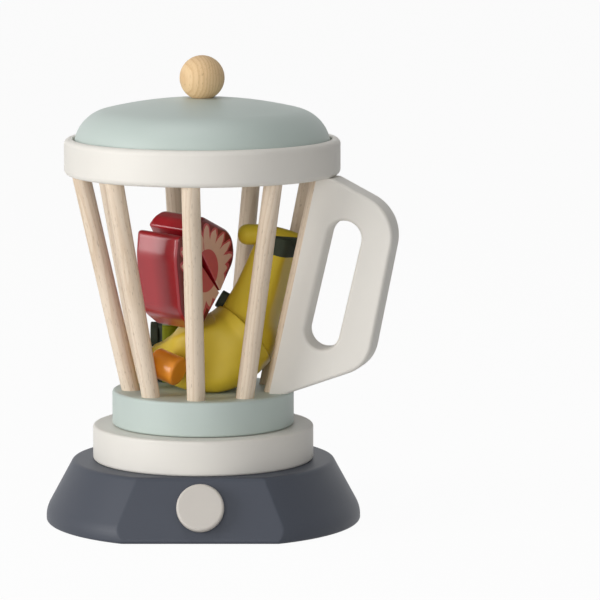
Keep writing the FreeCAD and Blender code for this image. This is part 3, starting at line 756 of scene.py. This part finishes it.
def floor_sheet(name):
    """White paper: plain white to the camera but for a share of its real shade, so that
    a faint contact shadow stays; a pale diffuse sheet to all other light."""
    finish = Finish(name, {"Base Color": (0.85, 0.85, 0.85), "Roughness": 0.9,
                           "Specular IOR Level": 0.0})
    glow = finish.node("ShaderNodeEmission", None, {"Strength": 1.0})
    blend = finish.node("ShaderNodeMixShader", None, {
        0: finish.seen() * (1 - PAPER_SHADE), 1: Value(finish, finish.shader.outputs[0]),
        2: glow})
    finish.feed(finish.nodes["Material Output"].inputs["Surface"], blend)
    return finish.material


def surroundings(name):
    """White to the camera and to reflections; a soft grey room to all other light."""
    world = bpy.data.worlds.new(name)
    world.use_nodes = True
    tree = Tree(world.node_tree)
    sky = tree.nodes["Background"]
    tree.feed(sky.inputs["Color"], (1.0, 1.0, 1.0))
    tree.feed(sky.inputs["Strength"], tree.seen() * (1 - ROOM_LEVEL) + ROOM_LEVEL)
    return world


# ------------------------------------------------------------------ places and pieces

def box_of(node):
    """A node's packed size, and its lowest corner."""
    low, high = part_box(node)
    return high - low, low


def raised(level):
    """A shift up by that much."""
    return Matrix.Translation((0, 0, level))


def along(start, end, shift=0.0):
    """A frame whose origin is the start and whose Z runs towards the end."""
    start, end = Vector(start), Vector(end)
    turn = (end - start).to_track_quat("Z", "Y").to_matrix().to_4x4()
    return Matrix.Translation(start) @ turn @ raised(shift)


def jar_frame():
    """Under the floor disc, with X towards the handle."""
    return raised(box_of("jar_floor")[1].z) @ Matrix.Rotation(JAR_TURN, 4, "Z")


def floor_level():
    """Height of the jar's floor."""
    size, low = box_of("jar_floor")
    return low.z + size.z


def over_floor(rows):
    """Rows of millimetres (x, y, rise, ...) in metres, with rises turned into heights."""
    rows = np.array(rows, float) * MM
    rows[..., 2] += floor_level()
    return rows


def block_rings(sizes):
    """The base block. At each height its reach round the axis is the softer of two: the
    cone on its straight foot, and the flat's distance over the cosine of the turn away
    from it. Both walls have their edges rounded."""
    size, _ = box_of("base_block")
    radius, total = size.x / 2, size.z
    edge, top = sizes.edge_round, sizes.base_top_round
    arc = np.linspace(0, math.pi / 2, 7)
    height = np.concatenate([edge * (1 - np.cos(arc)),
                             np.linspace(edge, total - top, 48)[1:-1],
                             total - top + top * np.sin(arc)])
    lean = sizes.base_taper / (total - sizes.base_foot_height)
    flat_foot = radius - sizes.facet_foot_cut
    flat_head = radius - sizes.base_taper - sizes.facet_head_cut
    foot = sloped_reach(height, radius, radius, total, 0, edge)
    cone = sloped_reach(height, radius + lean * sizes.base_foot_height,
                        radius - sizes.base_taper, total, top, 0)
    flat = sloped_reach(height, flat_foot, flat_head, total, top, edge)
    wall = soft_least(foot, cone, sizes.base_waist_round * lean ** 2 / 2)
    crease = math.acos(flat_foot / radius)
    near = crease + np.radians(np.linspace(-5, 5, 41))
    turn = np.unique(np.concatenate([turns(240), near, 2 * math.pi - near]))
    facing = np.maximum(np.cos(turn), 0.05)
    reach = soft_least(wall[:, None], flat[:, None] / facing,
                       sizes.crease_round * math.tan(crease) ** 2 / 2)
    shares = np.array([0.05, 0.5, 0.9, 0.99])[:, None]
    reach = np.concatenate([shares * reach[0], reach, shares[::-1] * reach[-1]])
    height = np.concatenate([0 * shares, height[:, None], 0 * shares + total])
    return np.stack([reach * np.sin(turn), -reach * np.cos(turn),
                     np.broadcast_to(height, reach.shape)], -1)


def add_piece(name, skin, material, body, nodes, place=None, shift=0.0, reach=None):
    """A mesh from points and faces in the piece's own frame, put in place, dressed and
    tied to the body that carries it. A shift moves the pattern, so like pieces differ."""
    points, groups = skin
    triangles = np.vstack([f[:, [0, 1, 2]] for f in groups]
                          + [f[:, [0, 2, 3]] for f in groups if f.shape[1] == 4])
    a, b, c = (points[triangles[:, i]] for i in range(3))
    if np.einsum("ij,ij->i", a, np.cross(b, c)).sum() < 0:
        groups = [f[:, ::-1] for f in groups]
    mesh = bpy.data.meshes.new(name)
    mesh.from_pydata(points.tolist(), [], [face for f in groups for face in f.tolist()])
    own = mesh.attributes.new(OWN, "FLOAT_VECTOR", "POINT")
    own.data.foreach_set("vector", (points + shift).astype(np.float32).ravel())
    if reach is not None:
        share = mesh.attributes.new(REACH, "FLOAT", "POINT")
        share.data.foreach_set("value", reach.astype(np.float32))
    mesh.shade_smooth()
    mesh.transform(place or Matrix())
    mesh.materials.append(material)
    piece = bpy.data.objects.new(name, mesh)
    bpy.context.scene.collection.objects.link(piece)
    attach(piece, body)
    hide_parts(*nodes)
    return piece


def repaint(material, *nodes):
    """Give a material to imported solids, whose meshes stay as they are."""
    for name in nodes:
        mesh = frame["nodes"][name].data
        mesh.materials.clear()
        mesh.materials.append(material)


def soft_lamp(name, place, size, power):
    """A square area lamp that faces the middle of the object."""
    lamp = bpy.data.lights.new(name, "AREA")
    lamp.energy, lamp.size = power, size
    holder = bpy.data.objects.new(name, lamp)
    holder.location = place
    facing = (Vector(LAMP_AIM) - Vector(place)).to_track_quat("-Z", "Y")
    holder.rotation_euler = facing.to_euler()
    bpy.context.scene.collection.objects.link(holder)


# ------------------------------------------------------------------ groups of pieces

def settings():
    scene = bpy.context.scene
    return scene.toy_blender_sizes, scene.toy_blender_colours


class TOYBLENDER_OT_base(bpy.types.Operator):
    """Base block with its sloped flat, and the pedestal on it"""
    bl_idname = "toyblender.base"
    bl_label = "Base and pedestal"

    def execute(self, context):
        sizes, colours = settings()
        slate = painted_wood("slate_sprayed", colours.slate, "X", depth=0.00003)
        add_piece("base_shell", shell(block_rings(sizes)), slate, "base",
                  ["base_block"])
        white = painted_wood("white_sprayed_disc", colours.white, "X", Finish.object_place)
        repaint(white, "pedestal_disc")
        wood = bare_wood("pin_wood", colours.wood_pale, colours.wood_dark, Finish.object_place)
        repaint(wood, "locating_peg", "glue_dowel_1", "glue_dowel_2",
                "shaft_pin", "knob_shaft", "handle_pin_1", "handle_pin_2", "ball_pin")
        return {"FINISHED"}


class TOYBLENDER_OT_knob(bpy.types.Operator):
    """Knob that turns on the base's sloped flat"""
    bl_idname = "toyblender.knob"
    bl_label = "Knob"

    def execute(self, context):
        sizes, colours = settings()
        joint = next(j for j in frame["joints"] if j["name"] == "knob_turn")
        start, axis = Vector(joint["pos_m"]), Vector(joint["axis"])
        size, _ = box_of("knob_disc")
        place = along(start, start + axis, KNOB_SEAT)
        skin = shell(lathe(disc_section(size.x / 2, KNOB_THICKNESS, sizes.edge_round), 128))
        # The knob's paint is the off-white darkened as painted shade.
        white = painted_wood("white_sprayed_knob_painted_shade", colours.knob, "X")
        add_piece("knob_shell", skin, white, "knob", ["knob_disc"], place)
        return {"FINISHED"}


class TOYBLENDER_OT_jar(bpy.types.Operator):
    """Floor disc, top ring and handle of the jar"""
    bl_idname = "toyblender.jar"
    bl_label = "Jar floor, ring and handle"

    def execute(self, context):
        _, colours = settings()
        mint = painted_wood("mint_sprayed_floor", colours.mint, "X", Finish.object_place)
        repaint(mint, "jar_floor")
        white = painted_wood("white_sprayed_jar", colours.white, "Z", Finish.object_place)
        repaint(white, "top_ring", "handle_plate")
        return {"FINISHED"}


class TOYBLENDER_OT_dowels(bpy.types.Operator):
    """Leaning dowels between the floor disc and the ring"""
    bl_idname = "toyblender.dowels"
    bl_label = "Dowels"

    def execute(self, context):
        sizes, colours = settings()
        wood = bare_wood("dowel_wood", colours.wood_pale, colours.wood_dark)
        floor_size, _ = box_of("jar_floor")
        _, ring_low = box_of("top_ring")
        rise = ring_low.z - floor_level()
        run = sizes.dowel_head - sizes.dowel_foot
        slant = math.hypot(rise, run)
        long = sizes.foot_depth + slant + sizes.head_depth
        skin = shell(lathe(rod_section(sizes.dowel_radius, long), 64))
        for number in range(DOWELS):
            turn = Matrix.Rotation(2 * math.pi * number / DOWELS, 4, "Z")
            foot = Matrix.Translation((sizes.dowel_foot, 0, floor_size.z))
            lean = Matrix.Rotation(math.atan2(run, rise), 4, "Y")
            place = jar_frame() @ turn @ foot @ lean @ raised(-sizes.foot_depth)
            add_piece(f"dowel_rod_{number + 1}", skin, wood, "jar",
                      [f"dowel_{number + 1}"], place, shift=DOWEL_GRAIN * number)
        return {"FINISHED"}


class TOYBLENDER_OT_lid(bpy.types.Operator):
    """Domed lid with its wooden ball"""
    bl_idname = "toyblender.lid"
    bl_label = "Lid and ball"

    def execute(self, context):
        _, colours = settings()
        mint = painted_wood("mint_sprayed_lid", colours.mint, "X", Finish.object_place,
                            roughness=0.46)
        repaint(mint, "lid_dome")
        size, low = box_of("lid_ball")
        radius = size.x / 2
        centre = size.z - radius
        first = math.asin(-centre / radius)
        turn = np.linspace(first, math.pi / 2 - 0.02, 72)
        arc = np.stack([radius * np.cos(turn), centre + radius * np.sin(turn)], -1)
        flat = arc[:1] * np.array([[0.1], [0.9], [0.985]]) * (1, 0)
        skin = shell(lathe(np.vstack([flat, arc]), 96))
        wood = bare_wood("ball_wood", colours.ball_pale, colours.ball_dark)
        add_piece("ball_grip", skin, wood, "lid", ["lid_ball"],
                  raised(low.z), shift=BALL_GRAIN)
        return {"FINISHED"}


class TOYBLENDER_OT_food(bpy.types.Operator):
    """Play food that lies in the jar"""
    bl_idname = "toyblender.food"
    bl_label = "Play food"

    def execute(self, context):
        sizes, colours = settings()
        self.banana(colours)
        self.berry(colours)
        self.small(sizes, colours)
        self.pads(colours)
        return {"FINISHED"}

    def banana(self, colours):
        yellow, felt = tuple(colours.yellow), tuple(colours.felt)
        point = over_floor(PART_POINT)
        uphill = np.array(PART_SLOPE) / np.linalg.norm(PART_SLOPE)
        half_gap = uphill * PART_GAP / 2 * MM
        enamel = glossy_paint("banana_enamel", yellow, roughness=0.42, coat=0.0)
        rings = banana_rings(over_floor(CHUNK), CHUNK_SECTION, CHUNK_FADE)[::-1]
        foot = blunt(trimmed(rings, point - half_gap, -uphill), CHUNK_ROUND * MM)
        add_piece("banana_foot", shell(foot), enamel, "jar",
                  ["banana_chunk"])
        top = painted_pads("banana_enamel_pad", yellow, felt, neck_band)
        rings = banana_rings(over_floor(NECK), NECK_SECTION, NECK_FADE)
        add_piece("banana_neck", shell(trimmed(rings, point + half_gap, uphill)), top,
                  "jar", ["banana_top"])
        stem = blunt(tube(over_floor(STEM), 24), STEM_ROUND * MM)
        add_piece("banana_stem", shell(stem), top, "jar", ["banana_top"])

    def berry(self, colours):
        print_face = berry_face("berry_print", colours)
        place = (Matrix.Translation(Vector(over_floor(BERRY_TIP)))
                 @ Matrix.Rotation(math.radians(BERRY_TURN), 4, "Z")
                 @ Matrix.Rotation(math.radians(BERRY_TILT), 4, "X"))
        whole = rounded_mm(BERRY_WHOLE)
        for name, node, corners, other in (
                ("berry_crown", "strawberry_half", BERRY_CROWN, -1),
                ("berry_cheek", "strawberry_cheek", BERRY_CHEEK, 1)):
            outline = held(rounded_mm(corners), closed=True)
            start, end = np.array(corners[0][:2]), np.array(corners[other][:2])
            square = np.array([start[1] - end[1], end[0] - start[0]])
            off = abs((outline / MM - start) @ square) / np.hypot(*square)
            front, back = np.array(BERRY_ROUNDS) * MM
            rings = slab(outline, BERRY_DEPTH * MM, front, back, FACE_SHARES,
                         np.interp(off, *SLIT_EASE))
            reach = face_reach(rings, whole)
            add_piece(name, shell(rings), print_face, "jar", [node], place,
                      reach=np.append(reach.ravel(), (0.0, BEHIND)))

    def small(self, sizes, colours):
        orange = glossy_paint("orange_enamel", colours.orange, roughness=0.34, coat=0.3)
        start, end = (Vector(p) for p in over_floor(STUB))
        stub = disc_section(sizes.stub_radius, (end - start).length, sizes.edge_round)
        add_piece("stub_turned", shell(lathe(stub, 96)), orange, "jar",
                  ["orange_stub"], along(start, end))
        green = painted_pads("green_enamel", tuple(colours.green), tuple(colours.felt),
                             green_side)
        chunk = disc_section(sizes.green_radius, sizes.green_height, sizes.edge_round)
        add_piece("green_turned", shell(lathe(chunk, 96)), green, "jar",
                  ["green_chunk"], Matrix.Translation(over_floor(GREEN_FOOT)))

    def pads(self, colours):
        felt = felt_pad("pad_felt", tuple(colours.felt))
        for name, (*ends, radius, node, slot) in PADS.items():
            start, end = (Vector(p) for p in over_floor(ends))
            disc = disc_section(radius * MM, (end - start).length, PAD_ROUND * MM)
            add_piece(name, shell(lathe(disc, 64)), felt, "jar", [node],
                      along(start, end))


class TOYBLENDER_OT_stage(bpy.types.Operator):
    """Floor, lights, surroundings and camera"""
    bl_idname = "toyblender.stage"
    bl_label = "Stage"

    def execute(self, context):
        floor = bpy.data.meshes.new("floor")
        floor.from_pydata(SHEET_CORNERS, [], [(0, 1, 2, 3)])
        sheet = bpy.data.objects.new("floor", floor)
        context.scene.collection.objects.link(sheet)
        floor.materials.append(floor_sheet("floor_sheet"))
        context.scene.world = surroundings("soft_room")
        for name, (place, size, power) in LAMPS.items():
            soft_lamp(name, place, size, power)
        camera = bpy.data.cameras.new("view")
        camera.sensor_width, camera.lens = SENSOR_WIDTH, LENS
        camera.clip_end = VIEW_END
        viewer = bpy.data.objects.new("view", camera)
        viewer.location = VIEW_FROM
        viewer.rotation_euler = (math.radians(90 - VIEW_DOWN), 0, 0)
        context.scene.collection.objects.link(viewer)
        context.scene.camera = viewer
        context.scene.view_settings.view_transform = "Standard"
        return {"FINISHED"}


class TOYBLENDER_PT_panel(bpy.types.Panel):
    """Sizes, colours and steps of the toy blender"""
    bl_idname = "TOYBLENDER_PT_panel"
    bl_label = "Toy Blender"
    bl_space_type = "VIEW_3D"
    bl_region_type = "UI"
    bl_category = "Toy Blender"

    def draw(self, context):
        for group in settings():
            for name in group.bl_rna.properties.keys():
                if name not in {"rna_type", "name"}:
                    self.layout.prop(group, name)
        for step in STEPS:
            self.layout.operator(step.bl_idname)


STEPS = (TOYBLENDER_OT_base, TOYBLENDER_OT_knob, TOYBLENDER_OT_jar, TOYBLENDER_OT_dowels,
         TOYBLENDER_OT_lid, TOYBLENDER_OT_food, TOYBLENDER_OT_stage)
CLASSES = (ToyBlenderSizes, ToyBlenderColours, *STEPS, TOYBLENDER_PT_panel)


def register():
    for kind in CLASSES:
        bpy.utils.register_class(kind)
    bpy.types.Scene.toy_blender_sizes = PointerProperty(type=ToyBlenderSizes)
    bpy.types.Scene.toy_blender_colours = PointerProperty(type=ToyBlenderColours)


def unregister():
    del bpy.types.Scene.toy_blender_colours
    del bpy.types.Scene.toy_blender_sizes
    for kind in reversed(CLASSES):
        bpy.utils.unregister_class(kind)


def main():
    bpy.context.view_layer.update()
    register()
    for step in STEPS:
        group, action = step.bl_idname.split(".")
        getattr(getattr(bpy.ops, group), action)()


if __name__ == "__main__":
    main()
